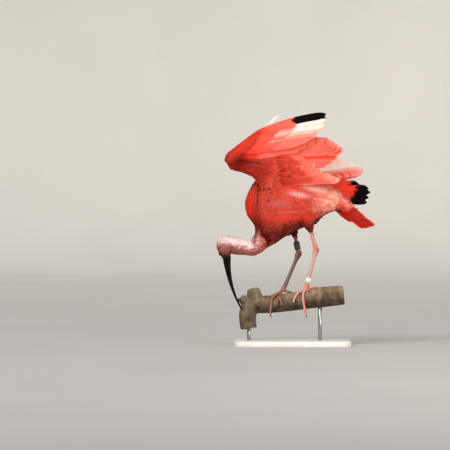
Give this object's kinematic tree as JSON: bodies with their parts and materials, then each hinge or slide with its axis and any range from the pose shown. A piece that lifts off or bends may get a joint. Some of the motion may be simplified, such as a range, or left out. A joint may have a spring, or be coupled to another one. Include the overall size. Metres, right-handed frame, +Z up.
{
  "type": "bird model",
  "caption": "Life-size still model of a stooping scarlet ibis with one wing raised, standing on a cut length of branch held up by a plain display stand.",
  "frame": {"origin": "middle of the underside of the stand's base plate, on the floor", "axes": "+Z up, -X the way the bird faces, -Y the bird's left side, which the picture shows"},
  "size_m": [0.4083, 0.1999, 0.6038],
  "materials": {
    "plumage": "soft scarlet feather",
    "face_skin": "bare pinkish red skin",
    "eye": "dark and glossy",
    "horn": "dark horn, slightly waxy",
    "leg_skin": "scaled pink skin",
    "bark": "weathered bark",
    "green_band": "smooth plastic",
    "white_band": "smooth plastic",
    "stand": "satin paint",
    "steel": "brushed"
  },
  "bodies": {
    "root": {"torso": "plumage", "neck_lower": "plumage", "neck_upper": "plumage", "head": "face_skin", "eye_left": "eye", "eye_right": "eye", "bill_upper": "horn", "bill_lower": "horn", "tail": "plumage", "wing_left_hand": "plumage", "wing_left_arm": "plumage", "wing_right_hand": "plumage", "wing_right_arm": "plumage", "thigh_left": "plumage", "shank_left": "leg_skin", "tarsus_left": "leg_skin", "foot_left": "leg_skin", "thigh_right": "plumage", "shank_right": "leg_skin", "tarsus_right": "leg_skin", "foot_right": "leg_skin", "ring_white": "white_band", "ring_green": "green_band", "perch": "bark", "stand_base": "stand", "stand_rod_left": "steel", "stand_rod_right": "steel"}
  },
  "joints": []
}
